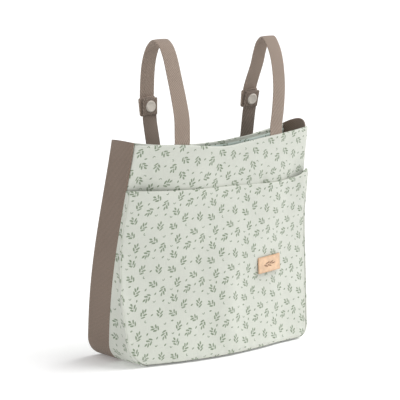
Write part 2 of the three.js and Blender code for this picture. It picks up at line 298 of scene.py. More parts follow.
def pucker(distance, along, reach, pitch, height):
    """Small gathers beside a seam: none on its line, and fading with distance from it."""
    wander = 1 + 0.35 * np.sin(along / (pitch * 3.7)) + 0.25 * np.sin(along / (pitch * 1.9) + 1.3)
    seam = np.clip(distance / GATHER_START, 0, 1)
    wave = np.sin(2 * np.pi * along / pitch + 2 * wander) * wander
    return height * seam * np.exp(-distance / reach) * wave


def simulate(points, pinned, pressure, growth, cap):
    """Offsets of a sheet after cloth simulation: pinned points stay, the rest fills and sags a little."""
    m, n = points.shape[:2]
    index = np.arange(m * n).reshape(m, n)
    faces = quads(index[:-1, :-1], index[1:, :-1], index[1:, 1:], index[:-1, 1:])
    mesh = bpy.data.meshes.new("sheet")
    mesh.from_pydata(points.reshape(-1, 3).tolist(), [], faces.tolist())
    obj = add_object("sheet", mesh)
    group = obj.vertex_groups.new(name="pin")
    weights = pinned.ravel()
    for i in np.flatnonzero(weights > 0):
        group.add([int(i)], float(weights[i]), "REPLACE")
    cloth = obj.modifiers.new("cloth", "CLOTH")
    settings = cloth.settings
    settings.quality = 6
    settings.mass = 0.25
    settings.tension_stiffness = 40
    settings.compression_stiffness = 20
    settings.shear_stiffness = 8
    settings.bending_stiffness = 1.5
    settings.air_damping = 4
    settings.shrink_min = -growth
    settings.vertex_group_mass = "pin"
    settings.effector_weights.gravity = 0.15
    settings.use_pressure = True
    settings.uniform_pressure_force = pressure
    cloth.point_cache.frame_start = 1
    cloth.point_cache.frame_end = CLOTH_FRAMES
    scene = bpy.context.scene
    for step in range(1, CLOTH_FRAMES + 1):
        scene.frame_set(step)
    shape = obj.evaluated_get(bpy.context.evaluated_depsgraph_get()).to_mesh()
    moved = np.empty(m * n * 3, np.float32)
    shape.vertices.foreach_get("co", moved)
    offset = moved.reshape(m, n, 3) - points
    bpy.data.objects.remove(obj)
    bpy.data.meshes.remove(mesh)
    scene.frame_set(1)
    for _ in range(SMOOTHING_PASSES):
        inner = offset[1:-1, 1:-1]
        around = offset[:-2, 1:-1] + offset[2:, 1:-1] + offset[1:-1, :-2] + offset[1:-1, 2:]
        offset[1:-1, 1:-1] = inner * 0.5 + around * 0.125
    length = np.maximum(np.linalg.norm(offset, axis=-1, keepdims=True), 1e-9)
    return offset * cap * np.tanh(length / cap) / length


def resample(values, columns, rows):
    """Cubic resampling of a coarse grid of vectors onto fractions of its two directions."""
    def along(data, at):
        at = np.clip(at, 0, 1) * (data.shape[0] - 1)
        low = np.clip(np.floor(at).astype(int), 0, data.shape[0] - 2)
        t = at - low
        before = data[np.clip(low - 1, 0, None)]
        after = data[np.clip(low + 2, None, data.shape[0] - 1)]
        t = t.reshape(-1, *([1] * (data.ndim - 1)))
        a, b = data[low], data[low + 1]
        return 0.5 * (2 * a + (b - before) * t + (2 * before - 5 * a + 4 * b - after) * t ** 2
                      + (3 * a - before - 3 * b + after) * t ** 3)
    first = along(values, columns)
    return np.swapaxes(along(np.swapaxes(first, 0, 1), rows), 0, 1)


# ---------------------------------------------------------------- shader helpers
def add_node(tree, kind, **settings):
    node = tree.nodes.new(kind)
    for name, value in settings.items():
        setattr(node, name, value)
    return node


def plug(tree, socket, value):
    if isinstance(value, bpy.types.NodeSocket):
        tree.links.new(value, socket)
    else:
        socket.default_value = value


def calc(tree, operation, *values):
    node = add_node(tree, "ShaderNodeMath", operation=operation)
    for socket, value in zip(node.inputs, values):
        plug(tree, socket, value)
    return node.outputs[0]


def vector_calc(tree, operation, *values):
    node = add_node(tree, "ShaderNodeVectorMath", operation=operation)
    for socket, value in zip(node.inputs, values):
        plug(tree, socket, value)
    return node.outputs[0]


def split(tree, vector):
    node = add_node(tree, "ShaderNodeSeparateXYZ")
    plug(tree, node.inputs[0], vector)
    return node.outputs[0], node.outputs[1], node.outputs[2]


def noise(tree, vector, scale, detail, roughness=0.5):
    node = add_node(tree, "ShaderNodeTexNoise")
    plug(tree, node.inputs["Vector"], vector)
    node.inputs["Scale"].default_value = scale
    node.inputs["Detail"].default_value = detail
    node.inputs["Roughness"].default_value = roughness
    return node.outputs[0]


def fade(tree, value, low, high, first=0.0, last=1.0):
    """first below low, last above high, smooth between."""
    node = add_node(tree, "ShaderNodeMapRange", interpolation_type="SMOOTHSTEP")
    for socket, given in zip(node.inputs, (value, low, high, first, last)):
        plug(tree, socket, given)
    return node.outputs[0]


def mix_colour(tree, share, a, b):
    node = add_node(tree, "ShaderNodeMix", data_type="RGBA")
    plug(tree, node.inputs[0], share)
    plug(tree, node.inputs[6], a)
    plug(tree, node.inputs[7], b)
    return node.outputs[2]


def bump(tree, height, distance, strength, under=None):
    node = add_node(tree, "ShaderNodeBump")
    node.inputs["Strength"].default_value = strength
    node.inputs["Distance"].default_value = distance
    plug(tree, node.inputs["Height"], height)
    if under is not None:
        plug(tree, node.inputs["Normal"], under)
    return node.outputs[0]


def linear(red, green, blue):
    """Colour given as 0 to 255 screen values."""
    def one(value):
        value /= 255
        return value / 12.92 if value <= 0.04045 else ((value + 0.055) / 1.055) ** 2.4
    return (one(red), one(green), one(blue), 1)


def new_material(name, colour, roughness, sheen=0.0):
    material = bpy.data.materials.new(name)
    material.use_nodes = True
    material.diffuse_color = colour
    shader = material.node_tree.nodes["Principled BSDF"]
    shader.inputs["Roughness"].default_value = roughness
    shader.inputs["Sheen Weight"].default_value = sheen
    shader.inputs["Sheen Roughness"].default_value = 0.5
    return material, material.node_tree, shader


def shades(colour, lighter, darker):
    """Paler and deeper versions of a colour."""
    pale = tuple(min(1, c * lighter) for c in colour[:3]) + (1,)
    deep = tuple(c * darker for c in colour[:3]) + (1,)
    return pale, deep


def cloth_place(tree):
    return add_node(tree, "ShaderNodeAttribute", attribute_name="cloth").outputs["Vector"]


# ---------------------------------------------------------------- the leaf print
TILE = 0.064
LEAF_STEP = 4.2
# Places in the tile as fractions to the right and up, and the way each motif points in degrees.
SPRIGS = [
    (0.70, 0.74, 112), (0.34, 0.48, 84), (0.66, 0.40, 134), (0.95, 0.55, 50),
    (0.20, 0.16, 142), (0.80, 0.08, 64), (0.43, 0.95, 244), (0.04, 0.87, 204),
]
LEAVES = [
    (0.44, 0.73, 35), (0.15, 0.47, 30), (0.02, 0.07, 48),
    (0.25, 0.93, 52), (0.64, 0.23, 5), (0.80, 0.87, 75),
]
TWINS = [(0.575, 0.63, 70), (0.97, 0.35, 20), (0.465, 0.19, 110), (0.64, 0.93, 85), (0.22, 0.745, 95)]


def motif_group(name, build):
    """Node group that turns a place into a mask, with its nodes made by build."""
    tree = bpy.data.node_groups.new(name, "ShaderNodeTree")
    tree.interface.new_socket("Place", in_out="INPUT", socket_type="NodeSocketVector")
    tree.interface.new_socket("Mask", in_out="OUTPUT", socket_type="NodeSocketFloat")
    start = tree.nodes.new("NodeGroupInput")
    end = tree.nodes.new("NodeGroupOutput")
    tree.links.new(build(tree, start.outputs[0]), end.inputs[0])
    return tree


def leaflet(tree, along, across, length, width):
    """Mask of a leaf pointed at both ends, centred where along and across are 0."""
    t = calc(tree, "DIVIDE", along, length)
    taper = calc(tree, "MULTIPLY_ADD", calc(tree, "MULTIPLY", t, t), -width, width)
    return fade(tree, calc(tree, "SUBTRACT", taper, calc(tree, "ABSOLUTE", across)), -0.12, 0.16)


def sprig_mask(tree, place):
    across, along, _ = split(tree, vector_calc(tree, "MULTIPLY", place, (0.92, 0.92, 0)))
    curve = calc(tree, "MULTIPLY_ADD", calc(tree, "MULTIPLY", along, along), 0.016, -0.3)
    across = calc(tree, "ADD", across, curve)
    side = calc(tree, "ABSOLUTE", across)
    shift = calc(tree, "SIGN", across)
    level = calc(tree, "ADD", calc(tree, "MULTIPLY_ADD", side, -0.8, along), shift)
    cell = calc(tree, "FRACT", calc(tree, "MULTIPLY_ADD", level, 1 / LEAF_STEP, 1.8))
    off = calc(tree, "MULTIPLY", calc(tree, "SUBTRACT", cell, 0.5), LEAF_STEP)
    reach = calc(tree, "SUBTRACT", side, 2.55)
    pairs = leaflet(tree, reach, off, 2.35, 1.75)
    low = fade(tree, level, -7.6, -7.5)
    high = fade(tree, level, 0.9, 0.8)
    pairs = calc(tree, "MULTIPLY", pairs, calc(tree, "MULTIPLY", low, high))
    tip = leaflet(tree, calc(tree, "SUBTRACT", along, 4.3), across, 2.7, 1.3)
    length = fade(tree, calc(tree, "ABSOLUTE", along), 6.6, 5.8)
    stem = calc(tree, "MULTIPLY", fade(tree, side, 0.30, 0.12), length)
    stem = calc(tree, "MULTIPLY", stem, 0.55)
    return calc(tree, "MAXIMUM", calc(tree, "MAXIMUM", pairs, tip), stem)


def leaf_mask(tree, place):
    across, along, _ = split(tree, place)
    return leaflet(tree, along, across, 2.3, 1.2)


def twin_mask(tree, place):
    across, along, _ = split(tree, place)
    side = calc(tree, "ABSOLUTE", across)
    level = calc(tree, "MULTIPLY_ADD", side, -0.8, along)
    return leaflet(tree, calc(tree, "SUBTRACT", side, 1.05), level, 1.2, 0.95)


def scattered(tree, group, place, motifs, start):
    """Largest of the group's masks over motifs at their places in the repeating tile."""
    total = start
    for right, up, angle in motifs:
        moved = vector_calc(tree, "SUBTRACT", place, (right - 0.5, up - 0.5, 0))
        own = vector_calc(tree, "SUBTRACT", vector_calc(tree, "FRACTION", moved), (0.5, 0.5, 0))
        turn = add_node(tree, "ShaderNodeVectorRotate", rotation_type="Z_AXIS")
        plug(tree, turn.inputs["Vector"], own)
        turn.inputs["Angle"].default_value = math.radians(90 - angle)
        node = add_node(tree, "ShaderNodeGroup", node_tree=group)
        scale = TILE / MM
        plug(tree, node.inputs[0], vector_calc(tree, "MULTIPLY", turn.outputs[0], (scale, scale, 0)))
        total = node.outputs[0] if total is None else calc(tree, "MAXIMUM", total, node.outputs[0])
    return total


def print_group():
    """Node group from cloth coordinates in metres to the mask of the whole print."""
    sprig = motif_group("sprig", sprig_mask)
    leaf = motif_group("leaf", leaf_mask)
    twin = motif_group("twin", twin_mask)

    def build(tree, place):
        waved = noise(tree, place, 900, 1.0)
        waved = calc(tree, "MULTIPLY", calc(tree, "SUBTRACT", waved, 0.5), 0.006)
        place = vector_calc(tree, "MULTIPLY", place, (1 / TILE, 1 / TILE, 0))
        place = vector_calc(tree, "ADD", place, waved)
        total = scattered(tree, sprig, place, SPRIGS, None)
        total = scattered(tree, leaf, place, LEAVES, total)
        return scattered(tree, twin, place, TWINS, total)

    return motif_group("leaf_print", build)


PRINT = print_group()
YARN_PITCH, RIB_PITCH, PICK_PITCH = 0.00052, 0.0031, 0.0011


def printed_cotton(name, turn, shift, ground, ink):
    """Plain-woven cotton with the leaf print, its repeat turned by degrees and shifted in metres."""
    material, tree, shader = new_material(name, ground, 0.86, sheen=0.25)
    place = cloth_place(tree)
    mapping = add_node(tree, "ShaderNodeMapping")
    plug(tree, mapping.inputs["Vector"], place)
    mapping.inputs["Location"].default_value = (*shift, 0)
    mapping.inputs["Rotation"].default_value = (0, 0, math.radians(turn))
    motif = add_node(tree, "ShaderNodeGroup", node_tree=PRINT)
    plug(tree, motif.inputs[0], mapping.outputs[0])
    across, along, _ = split(tree, place)
    warp = noise(tree, vector_calc(tree, "MULTIPLY", place, (2400, 90, 0)), 1.0, 1.0)
    weft = noise(tree, vector_calc(tree, "MULTIPLY", place, (90, 2400, 0)), 1.0, 1.0)
    yarn = calc(tree, "MULTIPLY", calc(tree, "ADD", warp, weft), 0.5)
    cloud = noise(tree, place, 14, 3.0)
    tone = calc(tree, "ADD", calc(tree, "MULTIPLY", yarn, 0.7), calc(tree, "MULTIPLY", cloud, 0.3))
    pale, deep = shades(ground, 1.06, 0.90)
    base = mix_colour(tree, fade(tree, tone, 0.3, 0.7), deep, pale)
    patches = noise(tree, place, 260, 2.0)
    weak = fade(tree, patches, 0.25, 0.75, 0.72, 1.0)
    share = calc(tree, "MULTIPLY", motif.outputs[0], weak)
    colour = mix_colour(tree, share, base, ink)
    plug(tree, shader.inputs["Base Color"], colour)
    pitch = 2 * math.pi / YARN_PITCH
    over = calc(tree, "SINE", calc(tree, "MULTIPLY", across, pitch))
    under = calc(tree, "SINE", calc(tree, "MULTIPLY", along, pitch))
    weave = calc(tree, "MULTIPLY", over, under)
    height = calc(tree, "ADD", calc(tree, "MULTIPLY", weave, 0.35), calc(tree, "MULTIPLY", yarn, 1.3))
    soft = bump(tree, cloud, 0.0012, 0.5)
    plug(tree, shader.inputs["Normal"], bump(tree, height, 0.00012, 0.6, soft))
    return material


def webbing(name, colour, width):
    """Woven tape: fine slanting ribs along its length, paler at both edges."""
    material, tree, shader = new_material(name, colour, 0.88, sheen=0.18)
    place = cloth_place(tree)
    across, along, _ = split(tree, place)
    slant = calc(tree, "MULTIPLY_ADD", along, 0.55, across)
    rib = calc(tree, "SINE", calc(tree, "MULTIPLY", slant, 2 * math.pi / RIB_PITCH))
    pick = calc(tree, "SINE", calc(tree, "MULTIPLY", along, 2 * math.pi / PICK_PITCH))
    fuzz = noise(tree, vector_calc(tree, "MULTIPLY", place, (620, 380, 0)), 1.0, 3.0, 0.7)
    cloud = noise(tree, place, 22, 3.0)
    edge = fade(tree, calc(tree, "ABSOLUTE", across), width / 2 - 0.0022, width / 2 - 0.0006)
    tone = calc(tree, "ADD", calc(tree, "MULTIPLY", rib, 0.55), calc(tree, "MULTIPLY", pick, 0.10))
    tone = calc(tree, "ADD", tone, calc(tree, "MULTIPLY_ADD", fuzz, 1.8, -0.9))
    tone = calc(tree, "ADD", tone, calc(tree, "MULTIPLY_ADD", cloud, 0.5, 0.25))
    tone = calc(tree, "ADD", tone, calc(tree, "MULTIPLY", edge, 0.25))
    pale, deep = shades(colour, 1.22, 0.78)
    plug(tree, shader.inputs["Base Color"], mix_colour(tree, fade(tree, tone, 0.0, 1.0), deep, pale))
    height = calc(tree, "ADD", rib, calc(tree, "MULTIPLY", pick, 0.5))
    height = calc(tree, "ADD", height, calc(tree, "MULTIPLY", fuzz, 1.6))
    plug(tree, shader.inputs["Normal"], bump(tree, height, 0.00018, 0.9))
    return material


def leather(name, colour, mark):
    """Smooth veg-tanned leather with fine grain, darker round its cut edge, and a debossed mark."""
    material, tree, shader = new_material(name, colour, 0.52)
    place = cloth_place(tree)
    across, along, _ = split(tree, place)
    grain = add_node(tree, "ShaderNodeTexVoronoi", feature="DISTANCE_TO_EDGE")
    plug(tree, grain.inputs["Vector"], vector_calc(tree, "MULTIPLY", place, (1100, 1100, 0)))
    grain.inputs["Scale"].default_value = 1.0
    creases = fade(tree, grain.outputs["Distance"], 0.0, 0.18)
    cloud = noise(tree, place, 90, 4.0, 0.6)
    edge_x = fade(tree, calc(tree, "ABSOLUTE", across), 0.0225, 0.0249)
    edge_y = fade(tree, calc(tree, "ABSOLUTE", along), 0.0096, 0.0119)
    edge = calc(tree, "MAXIMUM", edge_x, edge_y)
    pale, deep = shades(colour, 1.08, 0.84)
    base = mix_colour(tree, fade(tree, cloud, 0.3, 0.7), deep, pale)
    base = mix_colour(tree, calc(tree, "MULTIPLY", edge, 0.55), base, linear(196, 150, 112))
    stamp = mark(tree, place)
    base = mix_colour(tree, calc(tree, "MULTIPLY", stamp, 0.8), base, linear(128, 88, 62))
    plug(tree, shader.inputs["Base Color"], base)
    fine = bump(tree, creases, 0.00006, 0.5)
    plug(tree, shader.inputs["Normal"], bump(tree, calc(tree, "MULTIPLY", stamp, -1.0), 0.0004, 0.9, fine))
    return material


def leaf_mark(tree, place):
    """A lying sprig of leaves, the label's debossed mark."""
    turn = add_node(tree, "ShaderNodeVectorRotate", rotation_type="Z_AXIS")
    plug(tree, turn.inputs["Vector"], place)
    turn.inputs["Angle"].default_value = math.radians(90)
    return sprig_mask(tree, vector_calc(tree, "MULTIPLY", turn.outputs[0], (1350, 560, 0)))


def moulded(name, colour):
    """Satin moulded plastic with faint flow marks and tiny specks."""
    material, tree, shader = new_material(name, colour, 0.36)
    place = add_node(tree, "ShaderNodeTexCoord").outputs["Object"]
    cloud = noise(tree, place, 120, 4.0)
    speck = noise(tree, place, 2200, 1.0)
    pale, deep = shades(colour, 1.05, 0.9)
    plug(tree, shader.inputs["Base Color"], mix_colour(tree, fade(tree, cloud, 0.3, 0.7), deep, pale))
    rough = calc(tree, "MULTIPLY_ADD", speck, 0.16, 0.28)
    plug(tree, shader.inputs["Roughness"], rough)
    plug(tree, shader.inputs["Normal"], bump(tree, speck, 0.00003, 0.4))
    return material


def thread(name, colour):
    material, tree, shader = new_material(name, colour, 0.6, sheen=0.3)
    place = add_node(tree, "ShaderNodeTexCoord").outputs["Object"]
    ply = noise(tree, place, 3000, 2.0)
    pale, deep = shades(colour, 1.15, 0.75)
    plug(tree, shader.inputs["Base Color"], mix_colour(tree, fade(tree, ply, 0.3, 0.7), deep, pale))
    plug(tree, shader.inputs["Normal"], bump(tree, ply, 0.0001, 0.6))
    return material


GROUND = linear(213, 216, 206)
INK = linear(120, 136, 110)
# The lining's ground is the cotton's ground tinted towards blue-green: painted shade of the bag's inside, not
# a different fabric colour.
SHADED_LINING_GROUND = linear(204, 217, 210)
TAUPE = linear(134, 116, 102)
COTTON_POCKET = printed_cotton("printed_cotton_pocket", 0, (0.010, 0.004), GROUND, INK)
COTTON_BODY = printed_cotton("printed_cotton_body", 180, (0.026, 0.021), GROUND, INK)
COTTON_BACK = printed_cotton("printed_cotton_back", 0, (0.040, 0.012), GROUND, INK)
COTTON_SIDE = printed_cotton("printed_cotton_gusset", 90, (0.018, 0.0), GROUND, INK)
COTTON_LINING = printed_cotton("printed_cotton_lining", 0, (0.0, 0.03), SHADED_LINING_GROUND, INK)
BAND_WEB = webbing("webbing_wide", TAUPE, BAND_WIDTH)
STRAP_WEB = webbing("webbing_strap", linear(154, 137, 124), STRAP_WIDTH)
# The short tapes use the strap webbing about 15% darker: painted shade for tape that hangs in shadow.
SHADED_SHORT_WEB = webbing("webbing_short_painted_shade", linear(130, 115, 104), STRAP_WIDTH)
LABEL_LEATHER = leather("label_leather", linear(231, 196, 163), leaf_mark)
SNAP_PLASTIC = moulded("snap_plastic", linear(214, 206, 196))
THREAD = thread("thread_taupe", linear(150, 134, 120))


# ---------------------------------------------------------------- panels
PAD = 0.0046
ROLL = PAD / 2
SEAM_ROLL = 0.0045
SEAM_SHARE = 0.30
PANEL_COLUMNS, PANEL_ROWS, CORNER_ROWS = 121, 70, 16
SIDE_STATIONS, ARC_STATIONS, BASE_STATIONS = 60, 12, 61
RIM_ROWS_SPAN = 0.0026
GATHER_REACH, GATHER_PITCH, GATHER_HEIGHT = 0.009, 0.017, 0.0007


def spread(first, last, count, edge):
    """Values from first to last, with a few close together at both ends."""
    near = np.array([0, 0.08, 0.2, 0.4, 0.68]) * edge
    middle = np.linspace(first + edge, last - edge, count)
    return np.concatenate([first + near, middle, (last - near)[::-1]])


def panel_rows(corner, inset, top):
    radius = corner - inset
    round_rows = corner - radius * np.cos(np.linspace(0, np.pi / 2, CORNER_ROWS))
    rest = spread(corner, top, PANEL_ROWS, RIM_ROWS_SPAN)[1:]
    return np.concatenate([round_rows, rest])


def lined_rows(panel):
    """Number of rows that the lining covers, up to just under the rolled rim."""
    rows = panel_rows(panel["corner"], panel["inset"], panel["top"])
    return np.searchsorted(rows, panel["top"] - LINING_BELOW_TOP)


def eased_out(q, z):
    """Shift in x and y of the soft right edges, which puff out over the band's front edge, most low down."""
    share = smoothed((q - 0.70) / 0.30)
    return share * (0.0040 + 0.0040 * np.clip(1 - z / MOUTH_Z, 0, 1)), -0.0048 * share


def corner_of(panel, q):
    return np.where(q < 0, panel["corner"], panel["right_corner"])


def panel_shape(panel, q, row):
    x = q * half_width(row, corner_of(panel, q), panel["inset"])
    y = panel["surface"](q, row)
    if panel["inwards"] > 0:
        dx, dy = eased_out(q, row)
        x = x + dx
        y = y + dy
    z = row - (panel["sag"] * (1 - q * q) + panel["slump"](q)) * (row / panel["top"]) ** SAG_POWER
    return np.stack([x, y, z], axis=-1)


def panel_grids(panel):
    """Rest surface, its normals and distances to the top and to the sewn edges, on a fine grid."""
    columns = spread(-1, 1, PANEL_COLUMNS, 0.016)
    rows = panel_rows(panel["corner"], panel["inset"], panel["top"])
    q, row = np.meshgrid(columns, rows, indexing="ij")
    points = panel_shape(panel, q, row)
    normals = grid_normals(points)
    if normals[normals.shape[0] // 2, normals.shape[1] // 2, 1] * panel["inwards"] > 0:
        normals = -normals
    side = half_width(row, corner_of(panel, q), panel["inset"]) * (1 - np.abs(q))
    low = row - panel["inset"]
    return q, row, points, normals, np.minimum(side, low), panel["top"] - row


def fold_back(distance, radius):
    """How far a rounded edge falls back at a distance in from it."""
    share = np.clip(distance / radius, 0, 1)
    return radius * (1 - np.sqrt(np.clip(1 - (1 - share) ** 2, 0, 1)))


def shape_offset(panel, q, row, points, edge):
    """Offset along the normal: gathers beside the seams, long soft waves and the panel's own dents."""
    free = np.clip(edge / 0.03, 0, 1) ** 0.8
    waves = ripple(points, 0.11, panel["seed"]) * 0.0007 + ripple(points, 0.045, panel["seed"] + 1) * 0.00025
    along = np.where(row < panel["corner"], points[..., 0], points[..., 2])
    gathers = pucker(edge, along, GATHER_REACH, GATHER_PITCH, GATHER_HEIGHT)
    return waves * free + gathers * np.clip(edge / 0.003, 0, 1) + panel["dents"](q, row)


def panel_offsets(panel, q, row, points, normals, edge):
    """Movement of every point of the panel: its shaped detail along the normal, and the simulated sag."""
    move = normals * shape_offset(panel, q, row, points, edge)[..., None]
    coarse_q = np.linspace(-1, 1, 55)
    coarse_rows = np.linspace(panel["inset"], panel["top"], 45)
    gq, gr = np.meshgrid(coarse_q, coarse_rows, indexing="ij")
    coarse = panel_shape(panel, gq, gr)
    pinned = np.zeros(gq.shape)
    pinned[[0, -1], :] = 1
    pinned[:, [0, -1]] = 1
    pressure = -panel["pressure"] * panel["inwards"]
    moved = simulate(coarse, pinned, pressure, panel["growth"], panel["cap"])
    share_q = (q[:, 0] + 1) / 2
    share_row = (row[0] - panel["inset"]) / (panel["top"] - panel["inset"])
    return move + resample(moved, share_q, share_row)


def build_panel(name, panel, cotton, lining, halves):
    q, row, points, normals, edge, top_edge = panel_grids(panel)
    moved = points + panel_offsets(panel, q, row, points, normals, edge)
    cloth = grid_lengths(points)
    skin = -grid_normals(moved)
    if np.mean(np.sum(skin * normals, axis=-1)) < 0:
        skin = -skin
    top_fall = fold_back(top_edge, ROLL)
    seam_fall = fold_back(edge, SEAM_ROLL) * SEAM_SHARE
    outer = moved - skin * (top_fall + seam_fall)[..., None]
    inner = moved - skin * (PAD - top_fall - seam_fall * 0.2)[..., None]
    face = moved - skin * (PAD + 0.0002)
    reach = lined_rows(panel)
    under = face[:, :reach] - skin[:, :reach] * LINING
    middle = len(q) // 2
    spans = {"_left": slice(0, middle + 1), "_right": slice(middle, None)} if halves else {"": slice(None)}
    made = {}
    for suffix, span in spans.items():
        joined = {"_left": "last", "_right": "first"}.get(suffix)
        pad = closed_slab(name + suffix, outer[span], inner[span], cloth[span], cotton, joined)
        sheet_name = f"{name}_cloth{suffix}"
        sheet = closed_slab(sheet_name, face[span, :reach], under[span], cloth[span, :reach], lining)
        made[suffix] = (pad, sheet)
    return made


def nothing(q, *_):
    """No slump and no dents."""
    return np.zeros_like(q)


def rim_slump(q):
    """The front rim hangs lower between the straps, which hold it up."""
    middle = 0.0068 * np.exp(-((q + 0.08) / 0.36) ** 2)
    return middle + 0.0035 * np.exp(-((q + 1.0) / 0.3) ** 2)


def mouth_slump(q):
    """The pocket's mouth hangs lower on its right, then turns up into its right corner."""
    low = 0.0055 * np.exp(-((q - 0.66) / 0.40) ** 2)
    return low - 0.0075 * np.exp(-((q - 1.0) / 0.09) ** 2)


def mouth_gap(q, z):
    """Room between the front panel and the inside of the pocket at its mouth."""
    level = np.minimum(z, MOUTH_Z)
    return front_y(q, level) - pocket_y(q, level) - PANEL_DEPTH


def bump_at(q, row, q0, z0, wide, tall, height):
    return height * np.exp(-((q - q0) / wide) ** 2 - ((row - z0) / tall) ** 2)


def front_dents(q, row):
    """Front panel filled out towards the pocket's mouth, with a crease right of the middle."""
    below = smoothed((row - 0.17) / 0.085)
    above = smoothed((RIM_Z - 0.006 - row) / (RIM_Z - MOUTH_Z - 0.002))
    slack = 0.0018 + 0.0035 * np.exp(-((q + 0.88) / 0.3) ** 2)
    filled = np.clip(mouth_gap(q, row) - slack, 0, None) * (below * above)
    crease = bump_at(q, row, 0.42, 0.262, 0.05, 0.025, -0.0022)
    return filled + crease


def pocket_dents(q, row):
    """Puffed right corner of the mouth, and a slack hollow left of the middle."""
    puff = bump_at(q, row, 0.93, 0.245, 0.10, 0.03, 0.0035)
    slack = bump_at(q, row, -0.55, 0.12, 0.3, 0.08, -0.0012)
    return puff + slack


def pocket_face(q, z):
    """The pocket's face, rounded back under the bag at its lower edge."""
    return pocket_y(q, z) + fold_back(z, POCKET_TUCK)


BODY = dict(corner=BODY_CORNER, right_corner=BODY_CORNER, inset=BAND_THICKNESS + CLEAR, top=RIM_Z)
FRONT = dict(BODY, surface=front_y, inwards=1, sag=FRONT_SAG, slump=rim_slump, seed=3, dents=front_dents,
             pressure=0.6, growth=0.005, cap=0.004)
BACK = dict(BODY, surface=back_y, inwards=-1, sag=BACK_SAG, slump=nothing, seed=11, dents=nothing,
            pressure=0.6, growth=0.006, cap=0.004)
POCKET = dict(surface=pocket_face, inwards=1, corner=POCKET_CORNER, right_corner=RIGHT_POCKET_CORNER,
              inset=GUSSET_THICKNESS + CLEAR,
              top=MOUTH_Z, sag=MOUTH_SAG, slump=mouth_slump, seed=23, dents=pocket_dents,
              pressure=0.7, growth=0.003, cap=0.003)


def finish_piece(obj, material_slot, *nodes):
    if nodes:
        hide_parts(*nodes)


def build_panels():
    for name, panel, cotton in (("front_panel", FRONT, COTTON_BODY), ("back_panel", BACK, COTTON_BACK)):
        pad, lining = build_panel(name, panel, cotton, COTTON_LINING, False)[""]
        finish_piece(pad, "fabric", f"{name}_shell", f"{name}_wadding")
        finish_piece(lining, "lining", f"{name}_lining")
        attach(pad, "bag")
        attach(lining, "bag")
        grid = panel_grids(panel)[2]
    made = build_panel("pocket_panel", POCKET, COTTON_POCKET, COTTON_LINING, True)
    grid = panel_grids(POCKET)[2]
    for suffix, sign in (("_left", -1), ("_right", 1)):
        pad, lining = made[suffix]
        finish_piece(pad, "fabric", "pocket_panel_shell", "pocket_panel_wadding")
        finish_piece(lining, "lining", "pocket_panel_lining")
        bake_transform(pad)
        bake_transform(lining)


# ---------------------------------------------------------------- strips round the sides and base
def outline(corners, inset, top):
    """Stations (x, height, q) down the left side, under the base and up the right side."""
    left = half_outline(corners[0], inset, top)
    right = half_outline(corners[1], inset, top)[::-1] * (-1, 1, -1)
    share = np.linspace(0, 1, BASE_STATIONS + 2)[1:-1]
    x = left[-1, 0] + (right[0, 0] - left[-1, 0]) * share
    flat = np.stack([x, np.full_like(share, inset), 2 * share - 1], axis=1)
    return np.concatenate([left, flat, right])


def half_outline(corner, inset, top):
    down = spread(corner, top, SIDE_STATIONS, RIM_ROWS_SPAN)[::-1]
    angles = np.linspace(0, np.pi / 2, ARC_STATIONS + 1)[1:]
    round_z = corner - (corner - inset) * np.sin(angles)
    z_side = np.concatenate([down, round_z])
    x_side = half_width(z_side, corner, inset)
    return np.stack([-x_side, z_side, -np.ones_like(z_side)], axis=1)


def strip_surface(corners, edges, inset, top, across, ease):
    """Grid of a strip between a front and a back outline; ease moves the front one with its panel."""
    stations = [outline(corner, inset, top) for corner in corners]
    lines = []
    for line, y_at in zip(stations, edges):
        x, z, q = line.T
        lines.append(np.stack([x, y_at(q, z), z], axis=1))
    if ease:
        q, z = stations[0][:, 2], stations[0][:, 1]
        dx, dy = eased_out(q, z)
        lines[0][:, 0] += dx
        lines[0][:, 1] += dy
    s = across[None, :, None]
    points = lines[0][:, None] * (1 - s) + lines[1][:, None] * s
    return points, stations[0]


def inward_normals(points):
    normals = grid_normals(points)
    middle = points.mean(axis=(0, 1))
    if np.sum(normals * (middle - points)) < 0:
        normals = -normals
    return normals


def edge_thickness(across, width, thickness):
    """Fall of a tape's face towards both its rounded edges."""
    distance = np.minimum(across, 1 - across) * width
    return fold_back(distance, thickness / 2)


def band_end_shift(points, across, rim_distance, side):
    """The band's free top ends bow outwards and arch up a little, the right one most."""
    fall = np.clip(1 - rim_distance / 0.06, 0, 1) ** 2
    arch = 4 * across * (1 - across)
    out, up = ((0.0015, 0.001), (0.012, 0.0085))[side]
    shift = np.zeros_like(points)
    shift[..., 0] = (1 if side else -1) * out * fall * arch
    shift[..., 2] = up * fall * arch
    return shift


def band_grid(inset, gap, across):
    """Grid of the side band or of its lining, a gap in from both its edges."""
    def front(q, z):
        return lean_at(z) + gap

    def back(q, z):
        return lean_at(z) + BAND_WIDTH - gap

    points, stations = strip_surface(((BODY_CORNER,) * 2,) * 2, (front, back), inset, RIM_Z, across, False)
    rim_distance = (RIM_Z - stations[:, 1])[:, None] + 0 * across[None, :]
    share = 0 * rim_distance + across[None, :]
    right = (stations[:, 0] > 0)[:, None, None]
    shift = np.where(
        right,
        band_end_shift(points, share, rim_distance, 1),
        band_end_shift(points, share, rim_distance, 0),
    )
    return points + shift, stations


